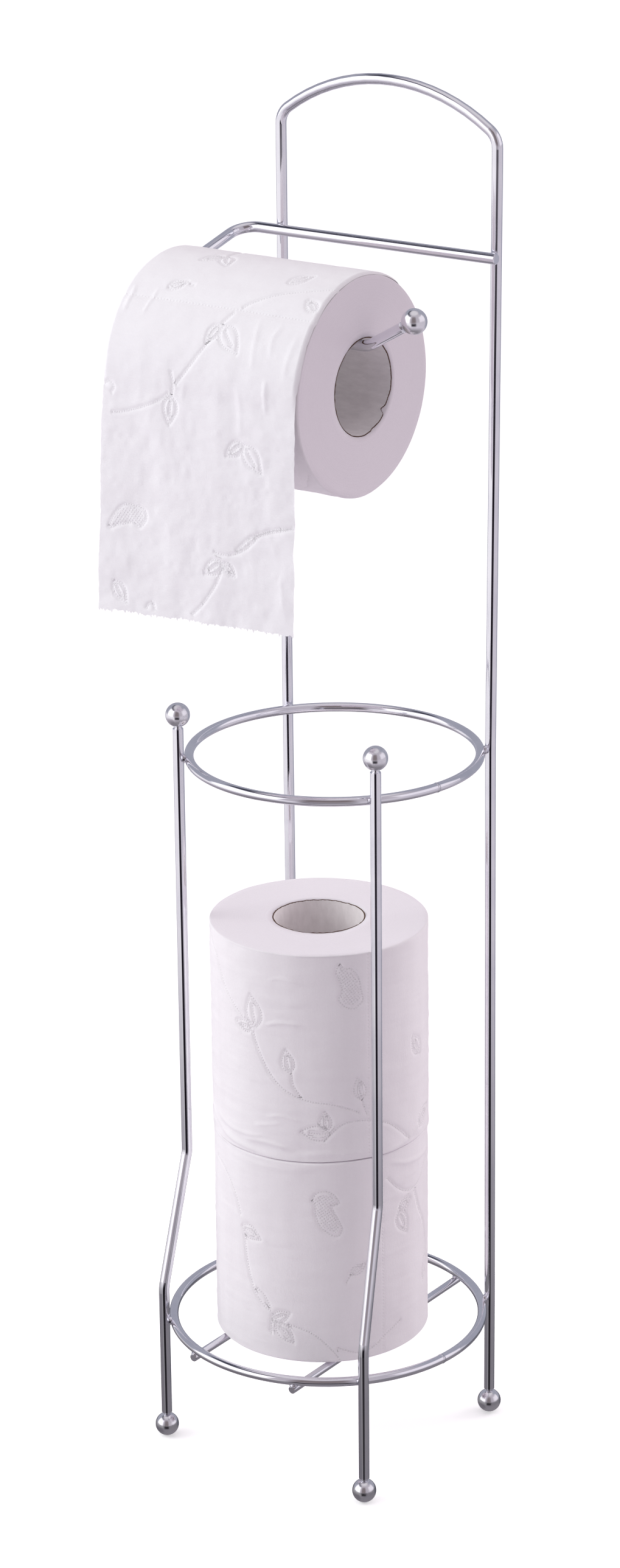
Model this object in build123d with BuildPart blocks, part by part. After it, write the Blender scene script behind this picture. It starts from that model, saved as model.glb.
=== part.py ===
"""Free-standing wire stand for toilet rolls, with an arm for the roll in use and a cage for two spares.

Units are millimetres. +Z is up, -Y is the front, where the loose sheet hangs, and +X is the side
that the open end of the arm points to. The origin is on the floor, under the centre of the upper ring.
"""

import os
from math import cos, radians, sin, sqrt

from build123d import *

os.makedirs("parts", exist_ok=True)

# ---------------------------------------------------------------- driving dimensions

# Wires and balls
frame_wire = 5.0            # diameter of the back frame, the front legs and the arm
ring_wire = 4.4             # diameter of both hoops
bar_wire = 3.8              # diameter of the two cross bars
ball_diameter = 11.4        # feet, finials and the arm's tip
neck_diameter = 3.4         # weld neck between a ball and its wire
neck_length = 0.5           # from the ball's surface to the wire's flat end
end_chamfer = 0.4           # broken edge of a cut wire

# Hoops, by their wire's centre line
upper_ring_radius = 67.4
upper_ring_height = 342.9
lower_ring_radius = 74.5
lower_ring_height = 60.9
lower_ring_forward = 9.2    # the lower hoop sits this far in front of the upper one

# Where the legs meet the hoops, measured from +X about each hoop's centre
back_angle_upper = 37.0
back_angle_lower = 43.1
front_angle_upper = 40.3
front_angle_lower = 42.9
leg_weld_gap = 0.1          # root gap between a hoop and a leg, filled by the weld

# Back frame
stand_height = 650.0        # top of the handle
arch_half_width = 58.7      # centre line of the uprights, below the arch
arch_setback = 45.0         # centre line of the arch, behind the origin
arch_crown_radius = 94.7
arch_corner_radius = 9.6
arch_corner_height = 616.0  # the uprights are straight up to here
upright_bend_radius = 300.0

# Front legs
kink_low = 79.0
kink_high = 145.0
kink_low_radius = 22.0
kink_high_radius = 12.0
finial_height = 364.2       # centre of the ball

# Cross bars
bar_half_spacing = 28.7
bar_overhang = 2.0          # past the hoop's centre line, front and back
bar_weld_gap = 0.1

# Arm
arm_height = 574.3          # back bar
arm_end_overhang = 3.4      # free end of the back bar, past the right upright's centre line
arm_side_gap = 26.1         # from the roll's left end to the side run
arm_forward = 49.3          # roll rod, in front of the origin
arm_rod_height = 551.6
arm_corner_radius = 10.0
arm_weld_gap = 0.1
tip_bend_gap = 2.4          # from the roll's right end to the bend of the tip
tip_bend_radius = 10.0
tip_angle = 30.0
tip_length = 27.6           # from the bend to the centre of the tip ball

# Rolls
roll_length = 103.0
core_inner_radius = 21.1
core_wall = 0.7
core_glue_gap = 0.05
hanging_roll_radius = 49.1
spare_roll_radius = 51.2
spare_roll_left = 2.0       # the spares stand this far off the middle
spare_roll_forward = 11.0
seat_gap = 0.3              # between a roll and what carries it
roll_edge_round = 0.6

# Loose sheet
sheet_thickness = 0.6
sheet_gap = 0.4
sheet_bottom = 431.5

# Welds
leg_bead_radius = 2.0
bar_bead_radius = 1.7
arm_bead_radius = 2.0

# ---------------------------------------------------------------- places worked out from them

ball_radius = ball_diameter / 2
ball_to_wire = ball_radius + neck_length
upper_leg_circle = upper_ring_radius + ring_wire / 2 + leg_weld_gap + frame_wire / 2
lower_leg_circle = lower_ring_radius + ring_wire / 2 + leg_weld_gap + frame_wire / 2
upper_ring_centre = Vector(0, 0, upper_ring_height)
lower_ring_centre = Vector(0, -lower_ring_forward, lower_ring_height)


def on_circle(centre, radius, angle):
    """Point at an angle about a level circle's centre."""
    return centre + Vector(radius * cos(radians(angle)), radius * sin(radians(angle)), 0)


back_at_upper = on_circle(upper_ring_centre, upper_leg_circle, back_angle_upper)
back_at_lower = on_circle(lower_ring_centre, lower_leg_circle, back_angle_lower)
front_at_upper = on_circle(upper_ring_centre, upper_leg_circle, -front_angle_upper)
front_at_lower = on_circle(lower_ring_centre, lower_leg_circle, -front_angle_lower)

bar_height = lower_ring_height - ring_wire / 2 - bar_weld_gap - bar_wire / 2
bar_half_chord = sqrt(lower_ring_radius**2 - bar_half_spacing**2)
bar_half_length = bar_half_chord + bar_overhang

# The arm's back bar lies against the front of the uprights, which still lean out a little there.
upright_share = (arm_height - upper_ring_height) / (arch_corner_height - upper_ring_height)
arch_corner = Vector(arch_half_width, arch_setback, arch_corner_height)
upright_at_arm = back_at_upper + (arch_corner - back_at_upper) * upright_share
arm_back = upright_at_arm.Y - frame_wire - arm_weld_gap
arm_end_reach = upright_at_arm.X + arm_end_overhang
arm_corner_reach = roll_length / 2 + arm_side_gap
tip_bend_reach = roll_length / 2 + tip_bend_gap
tip_direction = Vector(cos(radians(tip_angle)), 0, sin(radians(tip_angle)))
tip_bend = Vector(tip_bend_reach, -arm_forward, arm_rod_height)
tip_ball_centre = tip_bend + tip_direction * tip_length

core_outer_radius = core_inner_radius + core_wall
paper_inner_radius = core_outer_radius + core_glue_gap
hanging_axis_height = arm_rod_height + frame_wire / 2 + seat_gap - core_inner_radius
lower_spare_bottom = bar_height + bar_wire / 2 + seat_gap
upper_spare_bottom = lower_spare_bottom + roll_length + seat_gap


# ---------------------------------------------------------------- shapes that repeat


def sweep_wire(points, bends, diameter):
    """Round wire along straight runs joined by tangent bends."""
    with BuildLine() as route:
        FilletPolyline(*points, radius=bends)
    with BuildSketch(Plane(origin=route.line @ 0, z_dir=route.line % 0)) as section:
        Circle(diameter / 2)
    sweep(section.sketch, path=route.line)


def break_ends(part, heights):
    """Chamfer the level cut ends of a wire that stand at the given heights."""
    ends = [face for face in part.faces() if any(abs(face.center().Z - height) < 0.01 for height in heights)]
    flat = [face for face in ends if abs(face.normal_at().Z) > 0.999]
    chamfer([edge for face in flat for edge in face.edges()], end_chamfer)


def ball_on_wire(centre, wire_direction):
    """Solid ball with the short weld neck that reaches the wire's end."""
    with Locations(centre):
        Sphere(ball_radius)
    with BuildSketch(Plane(origin=centre, z_dir=wire_direction)) as neck:
        Circle(neck_diameter / 2)
    extrude(neck.sketch, amount=ball_to_wire)


def wound_roll(plane, outer_radius, inner_radius, edge_round):
    """Tube of the rolls' length, standing on the given plane."""
    with BuildSketch(plane) as end_face:
        Circle(outer_radius)
        Circle(inner_radius, mode=Mode.SUBTRACT)
    tube = extrude(end_face.sketch, amount=roll_length)
    if edge_round > 0:
        rims = [edge for edge in tube.edges().filter_by(GeomType.CIRCLE) if edge.radius > outer_radius - 0.01]
        fillet(rims, edge_round)


def weld_beads(planes, bead_radius, wires):
    """Buttons of weld metal that fill the crease between two wires, square to the way they touch."""
    for plane in planes:
        with BuildSketch(plane) as button:
            Circle(bead_radius)
        extrude(button.sketch, amount=bead_radius, both=True)
    for wire in wires:
        add(wire, mode=Mode.SUBTRACT)


# ---------------------------------------------------------------- back frame

# One rod: up the right side, over the arch and down the left side. The uprights are pulled in
# slightly where the upper hoop is welded to them.
crown_centre_z = stand_height - frame_wire / 2 - arch_crown_radius
corner_offset_x = arch_half_width - arch_corner_radius
corner_rise = sqrt((arch_crown_radius - arch_corner_radius) ** 2 - corner_offset_x**2)
corner_centre = Vector(corner_offset_x, arch_setback, crown_centre_z + corner_rise)
crown_centre = Vector(0, arch_setback, crown_centre_z)
corner_start = Vector(arch_half_width, arch_setback, corner_centre.Z)
corner_end = crown_centre + (corner_centre - crown_centre).normalized() * arch_crown_radius
foot_end = Vector(back_at_lower.X, back_at_lower.Y, ball_radius + ball_to_wire)

with BuildPart() as back_frame:
    with BuildLine() as frame_line:
        FilletPolyline(
            foot_end,
            Vector(back_at_lower.X, back_at_lower.Y, lower_ring_height),
            back_at_upper,
            arch_corner,
            corner_start,
            radius=upright_bend_radius,
        )
        TangentArc(corner_start, corner_end, tangent=(0, 0, 1))
        crown_top = crown_centre + Vector(0, 0, arch_crown_radius)
        ThreePointArc(corner_end, crown_top, Vector(-corner_end.X, corner_end.Y, corner_end.Z))
        mirror(frame_line.edges().filter_by(lambda edge: edge.center().X > arch_half_width / 2), about=Plane.YZ)
    with BuildSketch(Plane(origin=foot_end, z_dir=(0, 0, 1))):
        Circle(frame_wire / 2)
    sweep(path=frame_line.wires()[0])
    break_ends(back_frame.part, [foot_end.Z])

back_frame.part.label = "back_frame"
export_step(back_frame.part, "parts/back_frame.step")

# ---------------------------------------------------------------- front legs

leg_foot_end = Vector(front_at_lower.X, front_at_lower.Y, ball_radius + ball_to_wire)
leg_top_end = Vector(front_at_upper.X, front_at_upper.Y, finial_height - ball_to_wire)


def front_leg(side):
    """Leg that steps in above the lower hoop; side is 1 on the right and -1 on the left."""
    points = [
        leg_foot_end,
        Vector(front_at_lower.X, front_at_lower.Y, kink_low),
        Vector(front_at_upper.X, front_at_upper.Y, kink_high),
        leg_top_end,
    ]
    sweep_wire([Vector(p.X * side, p.Y, p.Z) for p in points], [kink_low_radius, kink_high_radius], frame_wire)


with BuildPart() as front_leg_left:
    front_leg(-1)
    break_ends(front_leg_left.part, [leg_foot_end.Z, leg_top_end.Z])

front_leg_left.part.label = "front_leg_left"
export_step(front_leg_left.part, "parts/front_leg_left.step")

with BuildPart() as front_leg_right:
    front_leg(1)
    break_ends(front_leg_right.part, [leg_foot_end.Z, leg_top_end.Z])

front_leg_right.part.label = "front_leg_right"
export_step(front_leg_right.part, "parts/front_leg_right.step")

# ---------------------------------------------------------------- hoops

with BuildPart() as upper_ring:
    with Locations(upper_ring_centre):
        Torus(upper_ring_radius, ring_wire / 2)

upper_ring.part.label = "upper_ring"
export_step(upper_ring.part, "parts/upper_ring.step")

with BuildPart() as lower_ring:
    with Locations(lower_ring_centre):
        Torus(lower_ring_radius, ring_wire / 2)

lower_ring.part.label = "lower_ring"
export_step(lower_ring.part, "parts/lower_ring.step")

# ---------------------------------------------------------------- cross bars


def cross_bar(side):
    """Straight bar under the lower hoop, from front to back."""
    front_end = Vector(side * bar_half_spacing, -lower_ring_forward - bar_half_length, bar_height)
    with BuildSketch(Plane(origin=front_end, x_dir=(1, 0, 0), z_dir=(0, 1, 0))) as bar_section:
        Circle(bar_wire / 2)
    bar = extrude(bar_section.sketch, amount=2 * bar_half_length)
    chamfer(bar.edges().filter_by(GeomType.CIRCLE), end_chamfer)


with BuildPart() as cross_bar_left:
    cross_bar(-1)

cross_bar_left.part.label = "cross_bar_left"
export_step(cross_bar_left.part, "parts/cross_bar_left.step")

with BuildPart() as cross_bar_right:
    cross_bar(1)

cross_bar_right.part.label = "cross_bar_right"
export_step(cross_bar_right.part, "parts/cross_bar_right.step")

# ---------------------------------------------------------------- arm

arm_points = [
    Vector(arm_end_reach, arm_back, arm_height),
    Vector(-arm_corner_reach, arm_back, arm_height),
    Vector(-arm_corner_reach, -arm_forward, arm_rod_height),
    tip_bend,
    tip_ball_centre - tip_direction * ball_to_wire,
]

with BuildPart() as roll_arm:
    sweep_wire(arm_points, [arm_corner_radius, arm_corner_radius, tip_bend_radius], frame_wire)
    arm_ends = roll_arm.faces().filter_by(GeomType.PLANE)
    chamfer([edge for face in arm_ends for edge in face.edges()], end_chamfer)

roll_arm.part.label = "roll_arm"
export_step(roll_arm.part, "parts/roll_arm.step")

# ---------------------------------------------------------------- balls

with BuildPart() as arm_tip_ball:
    ball_on_wire(tip_ball_centre, -tip_direction)

arm_tip_ball.part.label = "arm_tip_ball"
export_step(arm_tip_ball.part, "parts/arm_tip_ball.step")

leg_balls = [
    ("finial_ball_left", Vector(-front_at_upper.X, front_at_upper.Y, finial_height), -1),
    ("finial_ball_right", Vector(front_at_upper.X, front_at_upper.Y, finial_height), -1),
    ("foot_ball_front_left", Vector(-front_at_lower.X, front_at_lower.Y, ball_radius), 1),
    ("foot_ball_front_right", Vector(front_at_lower.X, front_at_lower.Y, ball_radius), 1),
    ("foot_ball_back_left", Vector(-back_at_lower.X, back_at_lower.Y, ball_radius), 1),
    ("foot_ball_back_right", Vector(back_at_lower.X, back_at_lower.Y, ball_radius), 1),
]

for ball_name, ball_centre, towards_wire in leg_balls:
    with BuildPart() as leg_ball:
        ball_on_wire(ball_centre, (0, 0, towards_wire))
    leg_ball.part.label = ball_name
    export_step(leg_ball.part, f"parts/{ball_name}.step")

# ---------------------------------------------------------------- welds

upper_bead_circle = upper_ring_radius + (ring_wire + leg_weld_gap) / 2
lower_bead_circle = lower_ring_radius + (ring_wire + leg_weld_gap) / 2
upper_bead_angles = [back_angle_upper, 180 - back_angle_upper, -front_angle_upper, front_angle_upper - 180]
lower_bead_angles = [back_angle_lower, 180 - back_angle_lower, -front_angle_lower, front_angle_lower - 180]
legs = [back_frame.part, front_leg_left.part, front_leg_right.part]


def beads_round(centre, radius, angles):
    """Planes that face outwards from a hoop's centre, one at each angle."""
    return [
        Plane(origin=on_circle(centre, radius, angle), x_dir=(0, 0, 1), z_dir=on_circle(Vector(0, 0, 0), 1, angle))
        for angle in angles
    ]


with BuildPart() as upper_ring_welds:
    weld_beads(
        beads_round(upper_ring_centre, upper_bead_circle, upper_bead_angles),
        leg_bead_radius,
        [upper_ring.part] + legs,
    )

upper_ring_welds.part.label = "upper_ring_welds"
export_step(upper_ring_welds.part, "parts/upper_ring_welds.step")

with BuildPart() as lower_ring_welds:
    weld_beads(
        beads_round(lower_ring_centre, lower_bead_circle, lower_bead_angles),
        leg_bead_radius,
        [lower_ring.part] + legs,
    )

lower_ring_welds.part.label = "lower_ring_welds"
export_step(lower_ring_welds.part, "parts/lower_ring_welds.step")

with BuildPart() as cross_bar_welds:
    bead_height = bar_height + (bar_wire + bar_weld_gap) / 2
    crossings = [
        Vector(x, -lower_ring_forward + y, bead_height)
        for x in (-bar_half_spacing, bar_half_spacing)
        for y in (-bar_half_chord, bar_half_chord)
    ]
    weld_beads(
        [Plane(origin=crossing, z_dir=(0, 0, 1)) for crossing in crossings],
        bar_bead_radius,
        [lower_ring.part, cross_bar_left.part, cross_bar_right.part],
    )

cross_bar_welds.part.label = "cross_bar_welds"
export_step(cross_bar_welds.part, "parts/cross_bar_welds.step")

with BuildPart() as arm_welds:
    bead_setback = upright_at_arm.Y - (frame_wire + arm_weld_gap) / 2
    weld_beads(
        [Plane(origin=(x, bead_setback, arm_height), z_dir=(0, 1, 0)) for x in (-upright_at_arm.X, upright_at_arm.X)],
        arm_bead_radius,
        [roll_arm.part, back_frame.part],
    )

arm_welds.part.label = "arm_welds"
export_step(arm_welds.part, "parts/arm_welds.step")

# ---------------------------------------------------------------- rolls

# Each roll is a cardboard core with the tissue wound on it. The roll in use hangs on the arm by the
# top of its core; the spares stand on the cross bars, one on the other.
hanging_end = Plane(
    origin=(-roll_length / 2, -arm_forward, hanging_axis_height),
    x_dir=(0, 1, 0),
    z_dir=(1, 0, 0),
)
lower_spare_end = Plane.XY.move(Location((-spare_roll_left, -spare_roll_forward, lower_spare_bottom)))
upper_spare_end = Plane.XY.move(Location((-spare_roll_left, -spare_roll_forward, upper_spare_bottom)))

rolls = [
    ("hanging", hanging_end, hanging_roll_radius),
    ("lower_spare", lower_spare_end, spare_roll_radius),
    ("upper_spare", upper_spare_end, spare_roll_radius),
]

for roll_name, roll_end, paper_radius in rolls:
    with BuildPart() as core:
        wound_roll(roll_end, core_outer_radius, core_inner_radius, 0)
    core.part.label = f"{roll_name}_core"
    export_step(core.part, f"parts/{roll_name}_core.step")

    with BuildPart() as paper:
        wound_roll(roll_end, paper_radius, paper_inner_radius, roll_edge_round)
    paper.part.label = f"{roll_name}_paper"
    export_step(paper.part, f"parts/{roll_name}_paper.step")

# ---------------------------------------------------------------- loose sheet

# It leaves the roll level with the axis, at the front, and hangs straight down.
sheet_front = -arm_forward - hanging_roll_radius - sheet_gap - sheet_thickness

with BuildPart() as tail_sheet:
    with BuildSketch(Plane.XZ.offset(-sheet_front)):
        with Locations((0, (hanging_axis_height + sheet_bottom) / 2)):
            Rectangle(roll_length, hanging_axis_height - sheet_bottom)
    extrude(amount=-sheet_thickness)

tail_sheet.part.label = "tail_sheet"
export_step(tail_sheet.part, "parts/tail_sheet.step")
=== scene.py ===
import math

import bmesh
import bpy
import numpy as np
from mathutils import Matrix, Vector
from mathutils.kdtree import KDTree


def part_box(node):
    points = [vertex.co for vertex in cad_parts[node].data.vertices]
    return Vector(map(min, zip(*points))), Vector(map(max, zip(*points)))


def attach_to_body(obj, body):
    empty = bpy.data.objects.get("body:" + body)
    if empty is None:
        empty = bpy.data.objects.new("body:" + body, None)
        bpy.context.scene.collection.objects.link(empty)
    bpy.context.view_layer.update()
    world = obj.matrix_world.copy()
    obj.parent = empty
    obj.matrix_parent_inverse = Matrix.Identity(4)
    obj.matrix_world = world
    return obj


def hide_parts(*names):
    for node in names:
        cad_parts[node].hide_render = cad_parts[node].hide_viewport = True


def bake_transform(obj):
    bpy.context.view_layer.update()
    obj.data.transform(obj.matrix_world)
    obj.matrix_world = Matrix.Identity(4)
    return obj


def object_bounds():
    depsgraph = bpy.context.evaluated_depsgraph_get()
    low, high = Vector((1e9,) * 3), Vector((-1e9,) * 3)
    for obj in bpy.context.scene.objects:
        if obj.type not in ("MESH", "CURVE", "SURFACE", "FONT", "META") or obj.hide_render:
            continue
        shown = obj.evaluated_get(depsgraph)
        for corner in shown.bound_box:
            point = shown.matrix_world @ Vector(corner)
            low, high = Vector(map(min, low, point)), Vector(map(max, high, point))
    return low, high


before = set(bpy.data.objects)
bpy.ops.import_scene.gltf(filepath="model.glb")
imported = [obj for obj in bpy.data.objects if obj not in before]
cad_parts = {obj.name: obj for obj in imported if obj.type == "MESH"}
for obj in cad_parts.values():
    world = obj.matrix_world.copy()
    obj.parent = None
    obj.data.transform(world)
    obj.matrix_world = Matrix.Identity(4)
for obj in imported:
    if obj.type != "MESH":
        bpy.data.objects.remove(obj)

cad_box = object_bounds()

# ------------------------------------------------------------------ plated wires
# The back frame, the two front legs, the hoops, the cross bars and the roll arm are steel rod, bent
# cold, welded together and then chrome plated as one, so they share one mirror finish with a faint
# haze where it was buffed.


def place(tree, kind, sockets=None, **settings):
    """Puts one node in a tree, with its settings, and its sockets set or linked."""
    made = tree.nodes.new(kind)
    for setting, value in settings.items():
        setattr(made, setting, value)
    for socket, value in (sockets or {}).items():
        if isinstance(value, bpy.types.NodeSocket):
            tree.links.new(value, made.inputs[socket])
        else:
            made.inputs[socket].default_value = value
    return made


def maths(tree, operation, *values):
    """One sum on sockets or numbers; returns its output."""
    return place(tree, "ShaderNodeMath", dict(enumerate(values)), operation=operation).outputs[0]


def blend_colours(tree, share, first, second):
    """The colour a share of the way from the first colour to the second; returns its output."""
    first_colour, second_colour, blended = 6, 7, 2
    mix = place(tree, "ShaderNodeMix", {"Factor": share, first_colour: first,
                                        second_colour: second}, data_type="RGBA")
    return mix.outputs[blended]


def new_group(name, inputs, outputs):
    """A shader node group with its sockets; returns the group, its input node and its output node."""
    group = bpy.data.node_groups.new(name, "ShaderNodeTree")
    for label, (kind, value) in inputs.items():
        socket = group.interface.new_socket(label, in_out="INPUT", socket_type=kind)
        if value is not None:
            socket.default_value = value
    for label, kind in outputs.items():
        group.interface.new_socket(label, in_out="OUTPUT", socket_type=kind)
    return group, group.nodes.new("NodeGroupInput"), group.nodes.new("NodeGroupOutput")


def blank_material(name):
    """A material with an empty Principled shader wired to its output."""
    material = bpy.data.materials.new(name)
    material.use_nodes = True
    tree = material.node_tree
    tree.nodes.clear()
    shader = tree.nodes.new("ShaderNodeBsdfPrincipled")
    out = tree.nodes.new("ShaderNodeOutputMaterial")
    tree.links.new(shader.outputs["BSDF"], out.inputs["Surface"])
    return material, tree, shader


plating, plating_in, plating_out = new_group(
    "plating_haze",
    {
        "Bright": ("NodeSocketColor", (0.8, 0.8, 0.84, 1)),
        "Dull": ("NodeSocketColor", (0.6, 0.6, 0.66, 1)),
        "Patch Scale": ("NodeSocketFloat", 60.0),
        "Least Roughness": ("NodeSocketFloat", 0.05),
        "Most Roughness": ("NodeSocketFloat", 0.15),
    },
    {"Colour": "NodeSocketColor", "Roughness": "NodeSocketFloat", "Height": "NodeSocketFloat"},
)
where = place(plating, "ShaderNodeTexCoord")
patches = place(plating, "ShaderNodeTexNoise", {
    "Vector": where.outputs["Object"], "Scale": plating_in.outputs["Patch Scale"],
    "Detail": 4.0, "Roughness": 0.62})
haze = place(plating, "ShaderNodeMapRange", {
    "Value": patches.outputs["Fac"], "From Min": 0.38, "From Max": 0.72})
buffing = place(plating, "ShaderNodeTexNoise", {
    "Vector": where.outputs["Object"], "Scale": 1600.0, "Detail": 2.0, "Roughness": 0.5})
swell = place(plating, "ShaderNodeTexNoise", {
    "Vector": where.outputs["Object"], "Scale": 170.0, "Detail": 1.0, "Roughness": 0.4})
plating_tint = blend_colours(plating, haze.outputs["Result"], plating_in.outputs["Bright"],
                             plating_in.outputs["Dull"])
buffed = maths(plating, "MULTIPLY", haze.outputs["Result"], buffing.outputs["Fac"])
plating_roughness = place(plating, "ShaderNodeMapRange", {
    "Value": buffed, "From Min": 0.0, "From Max": 0.6,
    "To Min": plating_in.outputs["Least Roughness"],
    "To Max": plating_in.outputs["Most Roughness"]})
plating_height = maths(plating, "MULTIPLY_ADD", buffing.outputs["Fac"], 0.05, swell.outputs["Fac"])
plating.links.new(plating_tint, plating_out.inputs["Colour"])
plating.links.new(plating_roughness.outputs["Result"], plating_out.inputs["Roughness"])
plating.links.new(plating_height, plating_out.inputs["Height"])


def chrome(name, bright, dull, patch_scale, least, most, ripple):
    """A chrome finish: its bright and dull tints, patch size, roughness range and ripple in metres."""
    material, tree, shader = blank_material(name)
    marks = place(tree, "ShaderNodeGroup", {
        "Bright": (*bright, 1), "Dull": (*dull, 1), "Patch Scale": patch_scale,
        "Least Roughness": least, "Most Roughness": most}, node_tree=plating)
    bump = place(tree, "ShaderNodeBump", {
        "Height": marks.outputs["Height"], "Strength": 1.0, "Distance": ripple})
    shader.inputs["Metallic"].default_value = 1.0
    tree.links.new(marks.outputs["Colour"], shader.inputs["Base Color"])
    tree.links.new(marks.outputs["Roughness"], shader.inputs["Roughness"])
    tree.links.new(bump.outputs["Normal"], shader.inputs["Normal"])
    return material


def finish_node(node, material):
    """Gives a carried-over CAD node its finish."""
    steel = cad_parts[node]
    steel.data.materials.clear()
    steel.data.materials.append(material)


wire_chrome = chrome("wire_chrome", (0.86, 0.86, 0.90), (0.77, 0.77, 0.83), 45.0, 0.05, 0.13, 6e-6)
for rod in ("back_frame", "front_leg_left", "front_leg_right", "upper_ring", "lower_ring",
            "cross_bar_left", "cross_bar_right", "roll_arm"):
    finish_node(rod, wire_chrome)

# ------------------------------------------------------------------ ball ends
# Seven small steel balls: two on top of the front legs, four as feet and one on the arm's tip. Each is
# pressed on the end of its rod and plated with it. Their finish is a little rougher than the rods'.
ball_chrome = chrome("ball_chrome", (0.86, 0.86, 0.89), (0.74, 0.74, 0.79), 120.0, 0.17, 0.28, 6e-6)
for ball in ("arm_tip_ball", "finial_ball_left", "finial_ball_right", "foot_ball_front_left",
             "foot_ball_front_right", "foot_ball_back_left", "foot_ball_back_right"):
    finish_node(ball, ball_chrome)

# ------------------------------------------------------------------ hoop butt seams
# Each hoop is one wire rolled to a ring and butt welded end to end. The joint is ground back, which
# leaves a low band round the wire under the plating.
seam_chrome = chrome("seam_chrome", (0.74, 0.74, 0.79), (0.55, 0.54, 0.58), 500.0, 0.12, 0.30, 3e-5)


def lattice(name, points, round_rows=False, round_cols=False, material=None):
    """A smooth mesh of four-sided faces over an array of points, rows by columns by three."""
    rows, cols = points.shape[:2]
    r = np.arange(rows if round_rows else rows - 1)
    c = np.arange(cols if round_cols else cols - 1)
    rr, cc = np.meshgrid(r, c, indexing="ij")
    r1, c1 = (rr + 1) % rows, (cc + 1) % cols
    faces = np.stack([rr * cols + cc, r1 * cols + cc, r1 * cols + c1, rr * cols + c1], -1)
    mesh = bpy.data.meshes.new(name)
    mesh.from_pydata(points.reshape(-1, 3).tolist(), [], faces.reshape(-1, 4).tolist())
    mesh.polygons.foreach_set("use_smooth", np.ones(len(mesh.polygons), bool))
    unrolled = np.stack([
        np.stack([rr, cc], -1), np.stack([rr + 1, cc], -1),
        np.stack([rr + 1, cc + 1], -1), np.stack([rr, cc + 1], -1)], 2).astype(np.float32)
    unrolled /= np.array([rows, cols], np.float32)
    mesh.uv_layers.new(name="OFBake").uv.foreach_set("vector", unrolled.ravel())
    mesh.update()
    piece = bpy.data.objects.new(name, mesh)
    bpy.context.scene.collection.objects.link(piece)
    if material:
        mesh.materials.append(material)
    return piece


def hoop_seam(name, hoop, angle):
    """The low ground band round a hoop's wire at one angle."""
    low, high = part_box(hoop)
    wire = (high.z - low.z) / 2
    reach = (high.x - low.x) / 2 - wire
    centre = (low + high) / 2
    outward = Vector((math.cos(angle), math.sin(angle), 0))
    along = Vector((-math.sin(angle), math.cos(angle), 0))
    rng = np.random.default_rng(5)
    points = []
    profile = [(step, 0.00016 * (1 - step**2) - 0.00002) for step in np.linspace(-1, 1, 9)]
    for step, height in profile + [(1, -0.0004), (-1, -0.0004)]:
        ring = []
        for turn in np.linspace(0, 2 * math.pi, 40, endpoint=False):
            r = wire + height + 0.00003 * rng.normal()
            ring.append(centre + outward * (reach + r * math.cos(turn)) + along * (0.0007 * step)
                        + Vector((0, 0, r * math.sin(turn))))
        points.append([list(p) for p in ring])
    band = lattice(name, np.array(points), round_rows=True, round_cols=True, material=seam_chrome)
    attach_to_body(band, "stand")


hoop_seam("upper_ring_seam", "upper_ring", math.radians(-12))
hoop_seam("lower_ring_seam", "lower_ring", math.radians(-9))

# ------------------------------------------------------------------ welds
# The hoops, the cross bars and the arm are spot welded to the rods they touch. The molten metal draws
# into a small smooth saddle between the two wires, and the plating runs over it.
weld_chrome = chrome("weld_chrome", (0.80, 0.80, 0.84), (0.62, 0.61, 0.66), 320.0, 0.06, 0.20, 2e-5)


def islands(mesh):
    """The points of each separate lump of a mesh, as arrays."""
    parent = list(range(len(mesh.vertices)))

    def root(i):
        while parent[i] != i:
            parent[i] = parent[parent[i]]
            i = parent[i]
        return i

    for edge in mesh.edges:
        a, b = (root(v) for v in edge.vertices)
        parent[a] = b
    lumps = {}
    for i, vertex in enumerate(mesh.vertices):
        lumps.setdefault(root(i), []).append(vertex.co)
    clusters = []
    for lump in lumps.values():
        middle = np.mean(np.array(lump), 0)
        near = [c for c in clusters if np.linalg.norm(c[0] - middle) < 0.008]
        if near:
            near[0][1].extend(lump)
        else:
            clusters.append([middle, list(lump)])
    return [np.array(c[1]) for c in clusters]


def weld_saddles(name, node):
    """Smooth weld metal in place of a node's plain buttons."""
    rng = np.random.default_rng(len(name))
    swell_by, count = 1.12, 28  # over the plain button's size, and points round a saddle
    points = []
    for lump in islands(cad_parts[node].data):
        middle = (lump.min(0) + lump.max(0)) / 2
        half = (lump.max(0) - lump.min(0)) / 2 * swell_by
        phase = rng.uniform(0, 6.28, 3)
        rows = []
        for lift in np.linspace(-math.pi / 2, math.pi / 2, count // 2 + 1):
            row = []
            for turn in np.linspace(0, 2 * math.pi, count, endpoint=False):
                d = np.array([math.cos(lift) * math.cos(turn), math.cos(lift) * math.sin(turn),
                              math.sin(lift)])
                pull = 1 - 0.10 * math.cos(2 * turn + phase[0]) * math.cos(lift) ** 2
                pull += 0.035 * math.sin(5 * lift + phase[1]) * math.cos(lift)
                row.append(middle + half * d * pull)
            rows.append(row)
        points.append(np.array(rows))
    lumps = []
    for i, rows in enumerate(points):
        lumps.append(lattice(f"{name}_{i}", rows, round_cols=True, material=weld_chrome))
    with bpy.context.temp_override(active_object=lumps[0], selected_editable_objects=lumps):
        bpy.ops.object.join()
    weld = lumps[0]
    weld.name = name
    joined = bmesh.new()
    joined.from_mesh(weld.data)
    bmesh.ops.remove_doubles(joined, verts=joined.verts, dist=1e-7)
    joined.to_mesh(weld.data)
    joined.free()
    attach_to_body(weld, "stand")
    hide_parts(node)


for weld_name, weld_node in (("upper_ring_saddles", "upper_ring_welds"),
                             ("lower_ring_saddles", "lower_ring_welds"),
                             ("cross_bar_saddles", "cross_bar_welds"),
                             ("arm_saddles", "arm_welds")):
    weld_saddles(weld_name, weld_node)

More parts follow.
